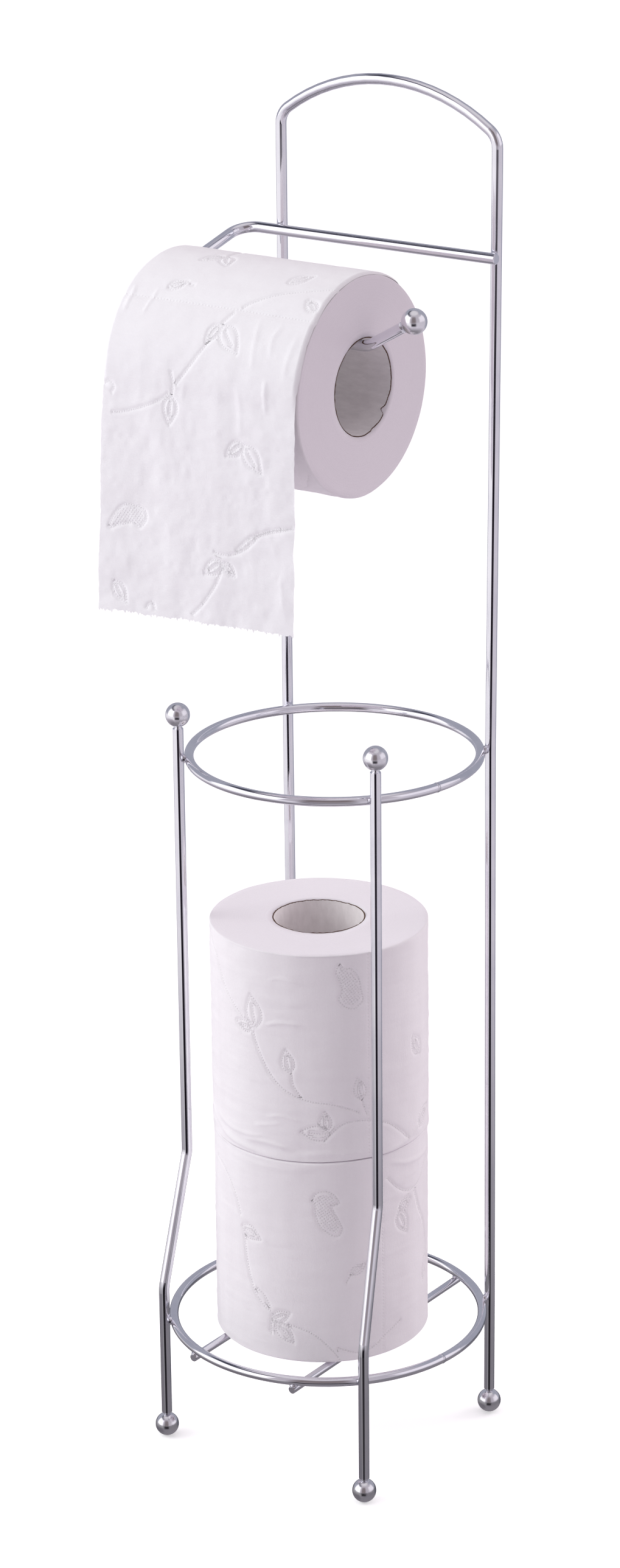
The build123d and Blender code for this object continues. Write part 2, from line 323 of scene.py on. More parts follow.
# ------------------------------------------------------------------ lower spare roll
# A roll of two-ply tissue wound on a grey board core. It stands on the cross bars. The tissue is
# creped, and an embossing roller has pressed it with dotted sprigs and hatched wings before winding.
DOT_PITCH = 0.00128
DOT_RADIUS = 0.00036
RIM_ROUND = 0.0007

dots, dots_in, dots_out = new_group(
    "pressed_dots",
    {"Track": ("NodeSocketVector", None), "Pitch": ("NodeSocketFloat", DOT_PITCH),
     "Radius": ("NodeSocketFloat", DOT_RADIUS)},
    {"Pits": "NodeSocketFloat"},
)
track = place(dots, "ShaderNodeSeparateXYZ", {"Vector": dots_in.outputs["Track"]})
steps = maths(dots, "DIVIDE", track.outputs["X"], dots_in.outputs["Pitch"])
part = maths(dots, "FRACT", maths(dots, "ADD", steps, 0.5))
along = maths(dots, "MULTIPLY", maths(dots, "SUBTRACT", part, 0.5), dots_in.outputs["Pitch"])
offset = place(dots, "ShaderNodeCombineXYZ", {"X": along, "Y": track.outputs["Y"]})
apart = place(dots, "ShaderNodeVectorMath", {0: offset.outputs["Vector"]}, operation="LENGTH")
rim = maths(dots, "MULTIPLY", dots_in.outputs["Radius"], 1.5)
hollow = place(dots, "ShaderNodeMapRange", {
    "Value": apart.outputs["Value"], "From Min": rim, "From Max": 0.0},
    interpolation_type="SMOOTHSTEP")
beside = maths(dots, "GREATER_THAN", track.outputs["Z"], 0.97)
pits = maths(dots, "MULTIPLY", hollow.outputs["Result"], beside)
dots.links.new(pits, dots_out.inputs["Pits"])

hatch, hatch_in, hatch_out = new_group(
    "hatched_wings",
    {"Cells": ("NodeSocketVector", None), "Pitch": ("NodeSocketFloat", DOT_PITCH)},
    {"Pits": "NodeSocketFloat"},
)
cells = place(hatch, "ShaderNodeSeparateXYZ", {"Vector": hatch_in.outputs["Cells"]})
waves = []
for axis in "XY":
    turns = maths(hatch, "DIVIDE", cells.outputs[axis], hatch_in.outputs["Pitch"])
    waves.append(maths(hatch, "COSINE", maths(hatch, "MULTIPLY", turns, 2 * math.pi)))
cups = place(hatch, "ShaderNodeMapRange", {
    "Value": maths(hatch, "ADD", *waves), "From Min": 0.35, "From Max": 1.8},
    interpolation_type="SMOOTHSTEP")
wing = maths(hatch, "GREATER_THAN", cells.outputs["Z"], 0.5)
inside = maths(hatch, "MULTIPLY", cups.outputs["Result"], wing)
hatch.links.new(inside, hatch_out.inputs["Pits"])

crepe, crepe_in, crepe_out = new_group(
    "crepe_and_fibre",
    {"Stretch": ("NodeSocketVector", (1, 1, 1)), "White": ("NodeSocketColor", (0.9, 0.88, 0.9, 1)),
     "Shade": ("NodeSocketColor", (0.85, 0.82, 0.86, 1))},
    {"Colour": "NodeSocketColor", "Height": "NodeSocketFloat"},
)
spot = place(crepe, "ShaderNodeTexCoord")
drawn = place(crepe, "ShaderNodeVectorMath", {0: spot.outputs["Object"],
                                              1: crepe_in.outputs["Stretch"]},
              operation="MULTIPLY")
ridges = place(crepe, "ShaderNodeTexNoise", {"Vector": drawn.outputs["Vector"], "Scale": 2300.0,
                                             "Detail": 2.0, "Roughness": 0.6})
fibres = place(crepe, "ShaderNodeTexNoise", {"Vector": spot.outputs["Object"], "Scale": 900.0,
                                             "Detail": 5.0, "Roughness": 0.7})
clouds = place(crepe, "ShaderNodeTexNoise", {"Vector": drawn.outputs["Vector"], "Scale": 95.0,
                                             "Detail": 3.0, "Roughness": 0.55})
mottle = maths(crepe, "MULTIPLY_ADD", fibres.outputs["Fac"], 0.45, clouds.outputs["Fac"])
mottled = place(crepe, "ShaderNodeMapRange", {"Value": mottle, "From Min": 0.5, "From Max": 1.0})
crepe_tint = blend_colours(crepe, mottled.outputs["Result"], crepe_in.outputs["White"],
                           crepe_in.outputs["Shade"])
relief = maths(crepe, "MULTIPLY_ADD", ridges.outputs["Fac"], 0.6, fibres.outputs["Fac"])
crepe.links.new(crepe_tint, crepe_out.inputs["Colour"])
crepe.links.new(relief, crepe_out.inputs["Height"])


def tissue(name, stretch, white, shade, crepe_depth, dot_depth, dot_shade):
    """Embossed tissue: crepe stretched along the roll's axis, pressed dots and perforation slits."""
    material, tree, shader = blank_material(name)
    surface = place(tree, "ShaderNodeGroup", {
        "Stretch": stretch, "White": (*white, 1), "Shade": (*shade, 1)}, node_tree=crepe)
    sprig_track = place(tree, "ShaderNodeAttribute", attribute_name="sprig_track")
    sprigs = place(tree, "ShaderNodeGroup", {
        "Track": sprig_track.outputs["Vector"], "Pitch": DOT_PITCH, "Radius": DOT_RADIUS},
        node_tree=dots)
    wing_cells = place(tree, "ShaderNodeAttribute", attribute_name="wing_cells")
    wings = place(tree, "ShaderNodeGroup", {
        "Cells": wing_cells.outputs["Vector"], "Pitch": DOT_PITCH}, node_tree=hatch)
    pressed = maths(tree, "MAXIMUM", sprigs.outputs["Pits"], wings.outputs["Pits"])
    slit_track = place(tree, "ShaderNodeAttribute", attribute_name="slit_track")
    slits = place(tree, "ShaderNodeGroup", {
        "Track": slit_track.outputs["Vector"], "Pitch": 0.0017, "Radius": 0.00042},
        node_tree=dots)
    pressed_or_cut = maths(tree, "MULTIPLY_ADD", slits.outputs["Pits"], 0.7, pressed)
    # The pressed pits and the slits are painted darker: painted shade in the recesses, besides their
    # bump.
    shadowed = maths(tree, "MULTIPLY", pressed_or_cut, dot_shade)
    tint = blend_colours(tree, shadowed, surface.outputs["Colour"], (0.42, 0.36, 0.42, 1))
    tree.links.new(tint, shader.inputs["Base Color"])
    fine = place(tree, "ShaderNodeBump", {"Height": surface.outputs["Height"], "Strength": 0.55,
                                          "Distance": crepe_depth})
    deep = place(tree, "ShaderNodeBump", {"Height": pressed_or_cut, "Strength": 1.0,
                                          "Distance": dot_depth,
                                          "Normal": fine.outputs["Normal"]},
                 invert=True)
    tree.links.new(deep.outputs["Normal"], shader.inputs["Normal"])
    shader.inputs["Roughness"].default_value = 0.95
    shader.inputs["Specular IOR Level"].default_value = 0.12
    shader.inputs["Sheen Weight"].default_value = 0.06
    return material


upright_tissue = tissue("upright_tissue", (1.0, 1.0, 0.12), (0.925, 0.908, 0.918),
                        (0.885, 0.862, 0.876), 0.00018, 0.00021, 0.015)


def end_tissue(name, axis, middle):
    """The cut end of a winding: fine rings of paper edges round the axis, slightly uneven."""
    material, tree, shader = blank_material(name)
    here = place(tree, "ShaderNodeTexCoord")
    off = place(tree, "ShaderNodeVectorMath", {0: here.outputs["Object"], 1: middle},
                operation="SUBTRACT")
    flat = place(tree, "ShaderNodeVectorMath", {0: off.outputs["Vector"],
                                                1: [0.0 if a else 1.0 for a in axis]},
                 operation="MULTIPLY")
    radius = place(tree, "ShaderNodeVectorMath", {0: flat.outputs["Vector"]}, operation="LENGTH")
    drift = place(tree, "ShaderNodeTexNoise", {"Vector": here.outputs["Object"], "Scale": 38.0,
                                               "Detail": 1.0})
    wander = maths(tree, "MULTIPLY_ADD", drift.outputs["Fac"], 0.0011, radius.outputs["Value"])
    turns = place(tree, "ShaderNodeCombineXYZ", {"X": wander})
    layers = place(tree, "ShaderNodeTexNoise", {"Vector": turns.outputs["Vector"],
                                                "Scale": 2600.0, "Detail": 3.0,
                                                "Roughness": 0.75})
    fluff = place(tree, "ShaderNodeTexNoise", {"Vector": here.outputs["Object"], "Scale": 1500.0,
                                               "Detail": 4.0, "Roughness": 0.7})
    mixed = maths(tree, "MULTIPLY_ADD", fluff.outputs["Fac"], 0.6, layers.outputs["Fac"])
    tint = place(tree, "ShaderNodeValToRGB", {"Fac": mixed})
    tint.color_ramp.elements[0].position = 0.45
    tint.color_ramp.elements[0].color = (0.83, 0.79, 0.83, 1)
    tint.color_ramp.elements[1].position = 1.1 / 1.3
    tint.color_ramp.elements[1].color = (0.90, 0.87, 0.90, 1)
    rough = place(tree, "ShaderNodeBump", {"Height": mixed, "Strength": 0.5,
                                           "Distance": 0.00015})
    tree.links.new(tint.outputs["Color"], shader.inputs["Base Color"])
    tree.links.new(rough.outputs["Normal"], shader.inputs["Normal"])
    shader.inputs["Roughness"].default_value = 0.97
    shader.inputs["Specular IOR Level"].default_value = 0.08
    shader.inputs["Sheen Weight"].default_value = 0.05
    return material


def board(name, stretch, darker, lighter):
    """Grey recycled core board between two greys, with flecks and a worn brown edge."""
    material, tree, shader = blank_material(name)
    here = place(tree, "ShaderNodeTexCoord")
    drawn = place(tree, "ShaderNodeVectorMath", {0: here.outputs["Object"], 1: stretch},
                  operation="MULTIPLY")
    pulp = place(tree, "ShaderNodeTexNoise", {"Vector": drawn.outputs["Vector"], "Scale": 420.0,
                                              "Detail": 5.0, "Roughness": 0.7})
    flecks = place(tree, "ShaderNodeTexNoise", {"Vector": here.outputs["Object"],
                                                "Scale": 1500.0, "Detail": 1.0})
    tint = place(tree, "ShaderNodeValToRGB", {"Fac": pulp.outputs["Fac"]})
    tint.color_ramp.elements[0].position = 0.3
    tint.color_ramp.elements[0].color = (*darker, 1)
    tint.color_ramp.elements[1].position = 0.75
    tint.color_ramp.elements[1].color = (*lighter, 1)
    cut_edge = place(tree, "ShaderNodeAttribute", attribute_name="cut_edge")
    brown = maths(tree, "ADD", maths(tree, "MULTIPLY", flecks.outputs["Fac"], 0.6),
                  cut_edge.outputs["Fac"])
    browned = place(tree, "ShaderNodeMapRange", {"Value": brown, "From Min": 0.75,
                                                 "From Max": 1.1})
    worn = blend_colours(tree, browned.outputs["Result"], tint.outputs["Color"],
                         (0.115, 0.07, 0.05, 1))
    tree.links.new(worn, shader.inputs["Base Color"])
    rough = place(tree, "ShaderNodeBump", {"Height": pulp.outputs["Fac"], "Strength": 0.4,
                                           "Distance": 0.0002})
    tree.links.new(rough.outputs["Normal"], shader.inputs["Normal"])
    shader.inputs["Roughness"].default_value = 0.85
    shader.inputs["Specular IOR Level"].default_value = 0.2
    return material


def cloud(x, y, cell, seed):
    """Smooth random hills over two coordinates, from -1 to 1, about one hill to a cell."""
    rng = np.random.default_rng(seed)
    grid = rng.uniform(-1, 1, (64, 64))
    gx, gy = x / cell + 7.3, y / cell + 11.9
    ix, iy = np.floor(gx).astype(int), np.floor(gy).astype(int)
    fx, fy = gx - ix, gy - iy
    fx, fy = fx * fx * (3 - 2 * fx), fy * fy * (3 - 2 * fy)
    a, b = grid[ix % 64, iy % 64], grid[(ix + 1) % 64, iy % 64]
    c, d = grid[ix % 64, (iy + 1) % 64], grid[(ix + 1) % 64, (iy + 1) % 64]
    return (a * (1 - fx) + b * fx) * (1 - fy) + (c * (1 - fx) + d * fx) * fy


def flowing(points, step=0.0003):
    """Points every step along a smooth line through the given ones, with their run and heading."""
    p = np.array(points, float)
    p = np.vstack([2 * p[0] - p[1], p, 2 * p[-1] - p[-2]])
    out = []
    for i in range(1, len(p) - 2):
        n = max(2, int(np.linalg.norm(p[i + 1] - p[i]) / step))
        t = np.linspace(0, 1, n, endpoint=False)[:, None]
        a, b, c, d = p[i - 1], p[i], p[i + 1], p[i + 2]
        out.append(0.5 * (2 * b + (c - a) * t + (2 * a - 5 * b + 4 * c - d) * t**2
                          + (3 * b - a - 3 * c + d) * t**3))
    line = np.vstack(out + [p[-2:-1]])
    hop = np.diff(line, axis=0)
    run = np.concatenate([[0], np.cumsum(np.linalg.norm(hop, axis=1))])
    heading = np.vstack([hop, hop[-1:]])
    heading /= np.maximum(np.linalg.norm(heading, axis=1), 1e-9)[:, None]
    return line, run, heading


def leaf_lines(base, tip, plump=0.52):
    """A leaf as three dotted lines: two bowed sides and a short rib."""
    base, tip = np.array(base, float), np.array(tip, float)
    spine = tip - base
    side = np.array([-spine[1], spine[0]]) * plump / 2
    return [
        [base, base + 0.22 * spine + 0.85 * side, base + 0.5 * spine + side, base + 0.78 * spine
         + 0.55 * side, tip],
        [base, base + 0.22 * spine - 0.85 * side, base + 0.5 * spine - side, base + 0.78 * spine
         - 0.55 * side, tip],
        [base + 0.18 * spine, base + 0.45 * spine + 0.08 * side, base + 0.7 * spine],
    ]


def nearest_track(places, lines, reach=0.0016):
    """For each place: run along the nearest line, signed distance from it, and 1 if that is near."""
    samples = [flowing(line) for line in lines]
    spots = np.vstack([s[0] for s in samples])
    runs = np.concatenate([s[1] for s in samples])
    heads = np.vstack([s[2] for s in samples])
    ends = np.concatenate([np.r_[True, np.zeros(len(s[0]) - 2, bool), True] for s in samples])
    tree = KDTree(len(spots))
    for i, (x, y) in enumerate(spots):
        tree.insert((x, y, 0), i)
    tree.balance()
    low, high = spots.min(0) - reach, spots.max(0) + reach
    found = np.zeros((len(places), 3))
    found[:, 1] = 0.009
    boxed = ((places >= low) & (places <= high)).all(1)
    for k in np.flatnonzero(boxed):
        x, y = places[k]
        _, i, gap = tree.find((x, y, 0))
        if gap > reach:
            continue
        ox, oy = x - spots[i, 0], y - spots[i, 1]
        forward = ox * heads[i, 0] + oy * heads[i, 1]
        sideways = ox * heads[i, 1] - oy * heads[i, 0]
        if ends[i] and abs(forward) > 0.0005:
            continue
        found[k] = runs[i] + forward, sideways, 1.0
    return found


def within(places, outline):
    """True for the places inside a closed outline."""
    x, y = places[:, 0], places[:, 1]
    hit = np.zeros(len(places), bool)
    for (x0, y0), (x1, y1) in zip(outline, outline[1:] + outline[:1]):
        cross = (y0 > y) != (y1 > y)
        reach = x0 + (y - y0) * (x1 - x0) / (y1 - y0 if y1 != y0 else 1e-12)
        hit ^= cross & (x < reach)
    return hit


def press(places, stems, leaves, wings, slits, creases):
    """How embossing moves the paper at each place, in metres, and the tracks its material reads."""
    lines = list(stems)
    for base, tip in leaves:
        lines += leaf_lines(base, tip)
    for outline in wings:
        lines.append(list(outline) + [outline[0]])
    sprig = nearest_track(places, lines)
    slit = nearest_track(places, slits)
    cells = np.zeros((len(places), 3))
    cells[:, :2] = places @ np.array([[0.82, -0.57], [0.57, 0.82]])
    for outline in wings:
        middle = np.mean(outline, 0)
        inner = [tuple(middle + (np.array(p) - middle) * 0.86) for p in outline]
        cells[within(places, inner), 2] = 1.0
    along_line = (sprig[:, 0] / DOT_PITCH + 0.5) % 1 - 0.5
    gap = np.hypot(along_line * DOT_PITCH, sprig[:, 1])
    near = sprig[:, 2] > 0
    move = -0.00012 * np.exp(-(gap / 0.00045) ** 2) * near
    move -= 0.00036 * np.exp(-(sprig[:, 1] / 0.00095) ** 2) * near
    move -= 0.00016 * cells[:, 2]
    move -= 0.00012 * np.exp(-(slit[:, 1] / 0.0006) ** 2) * (slit[:, 2] > 0)
    for line, height, width in creases:
        fold = nearest_track(places, [line], reach=width * 3.2)
        run = flowing(line)[1][-1]
        fade = np.clip(np.minimum(fold[:, 0], run - fold[:, 0]) / (0.22 * run), 0, 1)
        side = fold[:, 1] / width
        move += height * fade * (np.exp(-side**2) + 0.6 * side * np.exp(-side**2)) * (fold[:, 2] > 0)
    return move, sprig, cells, slit


def attach(mesh, name, values):
    """Keeps three numbers at each point of a mesh under a name."""
    kept = mesh.attributes.new(name, "FLOAT_VECTOR", "POINT")
    kept.data.foreach_set("vector", values.astype(np.float32).ravel())


def degrees_to_arc(lines, radius):
    """Lines given in degrees round a roll and millimetres along it, as metres on its surface."""
    return [[(math.radians(a) * radius, v / 1000) for a, v in line] for line in lines]


def winding(name, to_frame, radius, bore, length, base, sprigs, seed, materials, around=516,
            along_steps=146, edge_waves=None):
    """A roll of paper: embossed side, rounded rims, wavy cut ends and the bore round its core."""
    turn = np.linspace(-math.pi, math.pi, around, endpoint=False)
    rim = RIM_ROUND
    profile = []  # radius, height, side share, end sign
    for f in np.linspace(0, 1, 11):
        profile.append((bore + (radius - rim - bore) * f, 0.0, 0.0, -1))
    for a in (30, 60):
        a = math.radians(a)
        profile.append((radius - rim + rim * math.sin(a), rim - rim * math.cos(a), 0.5, -1))
    for f in np.linspace(0, 1, along_steps):
        profile.append((radius, rim + (length - 2 * rim) * f, 1.0, 0))
    for a in (60, 30):
        a = math.radians(a)
        profile.append((radius - rim + rim * math.sin(a), length - rim + rim * math.cos(a), 0.5, 1))
    for f in np.linspace(1, 0, 11):
        profile.append((bore + (radius - rim - bore) * f, length, 0.0, 1))
    profile = np.array(profile)
    t, k = np.meshgrid(turn, np.arange(len(profile)), indexing="ij")
    r, h, side, end = (profile[k, i] for i in range(4))
    lines, leaves, wings, slits, creases = sprigs
    copies = [-360, -180, 0, 180, 360]

    def repeat(shapes, gaps):
        return [[(a + gap, v) for a, v in shape] for gap in gaps for shape in shapes]

    def metres(shapes):
        return degrees_to_arc(shapes, radius)

    places = np.stack([t * radius, base + h], -1).reshape(-1, 2)
    move, sprig, cells, slit = press(
        places, metres(repeat(lines, copies)), metres(repeat(leaves, copies)),
        metres(repeat(wings, copies)), metres(repeat(slits, (-360, -201, 0, 159, 360))),
        [(metres([[(a + gap, v) for a, v in line]])[0], height, width)
         for gap in (-360, 0, 360) for line, height, width in creases])
    shape = t.shape
    flat = (side.reshape(-1) > 0.9)
    move *= flat
    for kept in (sprig, slit):
        kept[~flat, 2] = 0
    cells[~flat, 2] = 0
    soft = 0.00028 * np.sin(2 * t + seed) + 0.00016 * np.sin(3 * t + 1.7 * seed)
    soft += (0.00024 * cloud(t * radius, h, 0.028, seed)
             + 0.00008 * cloud(t * radius, h, 0.006, seed + 1))
    soft += 0.00015 * cloud(t * radius * 0.16, h, 0.0036, seed + 5)
    soft += 0.00007 * cloud(t * radius * 0.2, h, 0.0017, seed + 6)
    wrap = np.minimum((t + math.pi) / 0.25, 1.0) * np.minimum((math.pi - t) / 0.25, 1.0)
    soft = soft * wrap.clip(0, 1) - 0.00015
    r = r + side * (soft + move.reshape(shape))
    if edge_waves is not None:
        r = r + side * edge_waves(t, h) * wrap.clip(0, 1)
    uneven = 0.00016 * cloud(r * 6, t * 0 + seed, 0.004, seed + 2)
    uneven += 0.00014 * cloud(t * radius, r, 0.02, seed + 3) * wrap.clip(0, 1)
    h = h + np.where(end < 0, np.abs(uneven), np.where(end > 0, -np.abs(uneven), 0)) * (side < 0.9)
    points = to_frame(r, t, h)
    piece = lattice(name, points, round_rows=True, round_cols=True)
    mesh = piece.data
    mesh.flip_normals()
    for material in materials:
        mesh.materials.append(material)
    rows_on_end = side[0] < 0.4
    index = np.tile((rows_on_end | np.roll(rows_on_end, -1)).astype(np.int32), around)
    mesh.polygons.foreach_set("material_index", index)
    attach(mesh, "sprig_track", sprig)
    attach(mesh, "wing_cells", cells)
    attach(mesh, "slit_track", slit)
    return piece


def board_tube(name, to_frame, outer, wall, length, seed, material, tears=()):
    """A core: a thin board tube with a lapped spiral and ragged, slightly bent cut edges."""
    around = 260
    turn = np.linspace(-math.pi, math.pi, around, endpoint=False)
    heights = np.concatenate([[0, 0.0005], np.linspace(0.0015, length - 0.0015, 14),
                              [length - 0.0005, length]])
    inner, outer_side = np.full(len(heights), outer - wall), np.full(len(heights), outer)
    r0 = np.concatenate([inner, outer_side[::-1]])
    h0 = np.concatenate([heights, heights[::-1]])
    t, k = np.meshgrid(turn, np.arange(len(r0)), indexing="ij")
    r, h = r0[k], h0[k]
    cut = np.minimum(h, length - h)
    edge = np.exp(-(cut / 0.0025) ** 2)
    ragged = 0.00035 * cloud(t * outer, t * 0, 0.0035, seed)
    ragged *= np.minimum((math.pi - np.abs(t)) / 0.1, 1)
    h = h + np.where(h < length / 2, 1, -1) * edge * np.abs(ragged)
    for tear_turn, depth, width in tears:
        h = h - np.where(h > length / 2, 1, 0) * edge * depth * np.exp(-((t - tear_turn) / width) ** 2)
    lap = ((t / (2 * math.pi) + h / 0.055) % 1) < 0.5
    r = r + np.where(k < len(heights), 1, 0) * np.where(lap, 0.00006, 0.0)
    r = r - 0.00005 * edge * (0.5 + 0.5 * np.sin(3 * t + seed))
    piece = lattice(name, to_frame(r, t, h), round_rows=True, round_cols=True, material=material)
    cut_edge = piece.data.attributes.new("cut_edge", "FLOAT", "POINT")
    cut_edge.data.foreach_set("value", np.exp(-(cut / 0.0004) ** 2).astype(np.float32).ravel())
    return piece


def standing(node):
    """Where an upright roll stands: its axis in the frame, its lowest point, radius and height."""
    low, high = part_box(node)
    axis = (low + high) / 2

    def to_frame(r, t, h):
        return np.stack([axis.x + r * np.cos(t), axis.y + r * np.sin(t), low.z + h], -1)

    return to_frame, (high.x - low.x) / 2, high.z - low.z, low.z, axis


lower_sprigs = (
    [[(-129, 150), (-118, 147), (-109, 140), (-103, 128)],
     [(-100, 118), (-99, 109), (-97, 100), (-94, 92), (-91, 88), (-86, 84), (-83, 83)],
     [(-92, 93), (-87, 90.5), (-83.5, 85)],
     [(-82.7, 82), (-83.3, 72)],
     [(-73, 78), (-66.6, 76.5), (-60, 74), (-54, 69.5), (-48.5, 64), (-46, 60.5)],
     [(-42, 100), (-39.5, 104)],
     [(-46.5, 66.5), (-40, 64), (-35, 63), (-29.5, 63.3), (-24, 65.6), (-20, 68), (-8, 73)],
     [(-17, 149), (-10, 142.5), (-2, 138.4), (8, 138.5), (14, 141.5), (24, 150)],
     [(5, 136), (10, 125), (16.5, 115), (22, 100)]],
    [[(-102, 123), (-88.7, 119)], [(-82.3, 79), (-72, 84)], [(-80, 77.5), (-70, 68.3)],
     [(-39.7, 104), (-30.8, 108.6)], [(-9.2, 130.4), (1.2, 134)], [(-9.3, 129.6), (-2.8, 117.5)],
     [(22, 99), (17, 84)]],
    [[(-59.8, 143), (-57.5, 146.4), (-53, 147.5), (-48.5, 145.8), (-45.5, 141.2), (-49.3, 140),
      (-47, 134.7), (-44, 128), (-46.8, 124.4), (-52.4, 127), (-56, 130.6), (-58, 136.5),
      (-58.3, 141)]],
    [[(-20.4, 160.5), (-20.4, 60.2)]],
    [([(-18, 158), (-2, 153.6), (14, 151.8), (30, 153)], 0.0005, 0.0012),
     ([(-4.6, 146), (5, 146.4), (14, 149)], 0.0003, 0.0009),
     ([(-120, 159), (-80, 158.2), (-55, 159)], 0.0002, 0.0015),
     ([(40, 120), (60, 126), (85, 122)], 0.0003, 0.0012)],
)
lower_place, lower_radius, lower_height, lower_base, lower_axis = standing("lower_spare_paper")
bore = (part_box("lower_spare_core")[1].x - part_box("lower_spare_core")[0].x) / 2
core_gap, spare_wall = 0.0001, 0.00055  # between a core and its paper, and the board's thickness
upright_end = end_tissue("upright_end", (0, 0, 1), tuple(lower_axis))
upright_board = board("upright_board", (1.0, 1.0, 0.35), (0.84, 0.80, 0.80), (0.95, 0.91, 0.91))
lower_roll = winding("lower_spare_roll", lower_place, lower_radius, bore, lower_height, lower_base,
                     lower_sprigs, 3, (upright_tissue, upright_end))
lower_tube = board_tube("lower_spare_tube", lower_place, bore - core_gap, spare_wall,
                        lower_height, 4, upright_board)
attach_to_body(lower_roll, "lower_spare")
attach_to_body(lower_tube, "lower_spare")
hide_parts("lower_spare_paper")
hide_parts("lower_spare_core")

# ------------------------------------------------------------------ upper spare roll
# The same kind of roll, stacked on the lower one. Its last turn is loose at the bottom, where it has
# been pushed into shallow folds by the roll under it.
upper_sprigs = (
    [[(-140, 262), (-124, 254), (-119, 248), (-113, 240), (-105, 234), (-99.6, 230.3)],
     [(-92, 224), (-90, 218), (-86.6, 211.7), (-82.4, 205.3), (-76.7, 199.7), (-70.5, 196),
      (-65, 194), (-58.5, 192.5), (-50, 191.5), (-42, 189.3), (-34.4, 186.2)],
     [(-65, 195), (-69, 200.6), (-70, 206.2)],
     [(-30, 185), (-31.5, 189), (-32.5, 192.4)],
     [(-52.8, 173), (-48, 177.8), (-43.7, 180.8), (-37.5, 182), (-29.5, 181.4), (-18, 178),
      (-10, 172.5), (-2, 166)]],
    [[(-90, 226.5), (-93.3, 242.2)], [(-92.7, 225), (-104, 227)], [(-70.8, 206.5), (-73.3, 218)],
     [(-32.7, 192.5), (-35, 203.6)], [(-51.6, 178), (-52.6, 188)], [(-49.7, 176.4), (-65.4, 177.7)],
     [(8, 168), (20, 176)], [(10, 205), (2, 216)]],
    [[(-44.2, 261), (-46, 257), (-44, 252), (-43.2, 247), (-44.7, 243.6), (-41.7, 239.8),
      (-37, 238.2), (-34, 239.6), (-31.6, 242), (-32.8, 248), (-34, 253), (-37.8, 257.8),
      (-41.6, 258.2)]],
    [[(-28.5, 264), (-28.7, 163.5)]],
    [([(-83, 251.6), (-75, 253), (-63.8, 251)], 0.0003, 0.0008),
     ([(-86, 228.6), (-76, 231.3), (-62.5, 231)], 0.00045, 0.0009),
     ([(-85, 183), (-75.4, 184.7), (-62, 182.6)], 0.0004, 0.0009),
     ([(-140, 178), (-128, 172.5), (-119, 168.5), (-106, 166), (-95, 165), (-80, 163.6)],
      0.0009, 0.0013),
     ([(-124, 175), (-110, 172), (-92, 172), (-87, 174)], 0.0006, 0.0011),
     ([(-101, 169), (-84, 170.2), (-68, 168)], 0.0007, 0.0011),
     ([(-18, 164), (-2, 166), (14, 172), (26, 180)], 0.0006, 0.0011),
     ([(-93, 177.4), (-75.4, 181)], 0.0003, 0.0009),
     ([(-70, 165.6), (-52, 167), (-30, 165.8)], 0.0004, 0.0012)],
)
upper_place, upper_radius, upper_height, upper_base, _ = standing("upper_spare_paper")


def loose_hem(t, h):
    """The loose bottom of the last turn: shallow waves that die out going up."""
    fade = np.exp(-(h / 0.011) ** 2)
    return fade * (0.0006 * cloud(t * 0.051, h * 2.5, 0.013, 41) + 0.00012)


upper_roll = winding("upper_spare_roll", upper_place, upper_radius, bore, upper_height, upper_base,
                     upper_sprigs, 8, (upright_tissue, upright_end), edge_waves=loose_hem)
upper_tube = board_tube("upper_spare_tube", upper_place, bore - core_gap, spare_wall,
                        upper_height, 9, upright_board)
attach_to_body(upper_roll, "upper_spare")
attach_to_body(upper_tube, "upper_spare")
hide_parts("upper_spare_paper")
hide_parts("upper_spare_core")

# ------------------------------------------------------------------ hanging roll
# The roll in use. Its core hangs on the arm's rod, so it swings below the rod and turns as the paper
# is pulled.
low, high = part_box("hanging_paper")
hang_y, hang_z = (low.y + high.y) / 2, (low.z + high.z) / 2
hang_radius, hang_width, hang_left = (high.z - low.z) / 2, high.x - low.x, low.x
under_sheet, hang_wall = 0.0003, 0.00045  # room kept under the loose sheet; the core's thinner board


def hanging(r, t, h):
    """A point of the hanging roll: t goes from its top towards the front, h along its axis."""
    return np.stack([hang_left + h, hang_y - r * np.sin(t), hang_z + r * np.cos(t)], -1)


def moved_to_hang(shapes):
    """The upper roll's embossing, turned and slid to lie round the hanging roll."""
    return [[(a + 90, v - 162.2) for a, v in shape] for shape in shapes]


hanging_sprigs = (
    moved_to_hang(upper_sprigs[0]), moved_to_hang(upper_sprigs[1]), moved_to_hang(upper_sprigs[2]),
    [[(-110, 2), (-110, 101)]],
    [([(110, 20), (120, 45), (118, 70)], 0.0001, 0.001)],
)
lying_tissue = tissue("lying_tissue", (0.12, 1.0, 1.0), (0.925, 0.908, 0.918),
                      (0.885, 0.862, 0.876), 0.00016, 0.00018, 0.01)
lying_end = end_tissue("lying_end", (1, 0, 0), (0.0, hang_y, hang_z))
lying_board = board("lying_board", (0.35, 1.0, 1.0), (0.80, 0.78, 0.775), (0.93, 0.91, 0.905))
hanging_roll = winding("hanging_roll_paper", hanging, hang_radius - under_sheet, bore,
                       hang_width, 0.0, hanging_sprigs, 5, (lying_tissue, lying_end))
hanging_roll.data.flip_normals()
hanging_tube = board_tube("hanging_roll_tube", hanging, bore - core_gap, hang_wall, hang_width,
                          11, lying_board, tears=((-2.25, 0.0022, 0.07), (-2.05, 0.0007, 0.16),
                                              (2.80, 0.0010, 0.09), (-2.75, 0.0006, 0.12)))
hanging_tube.data.flip_normals()
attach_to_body(hanging_roll, "hanging_roll")
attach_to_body(hanging_tube, "hanging_roll")
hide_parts("hanging_paper")
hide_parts("hanging_core")

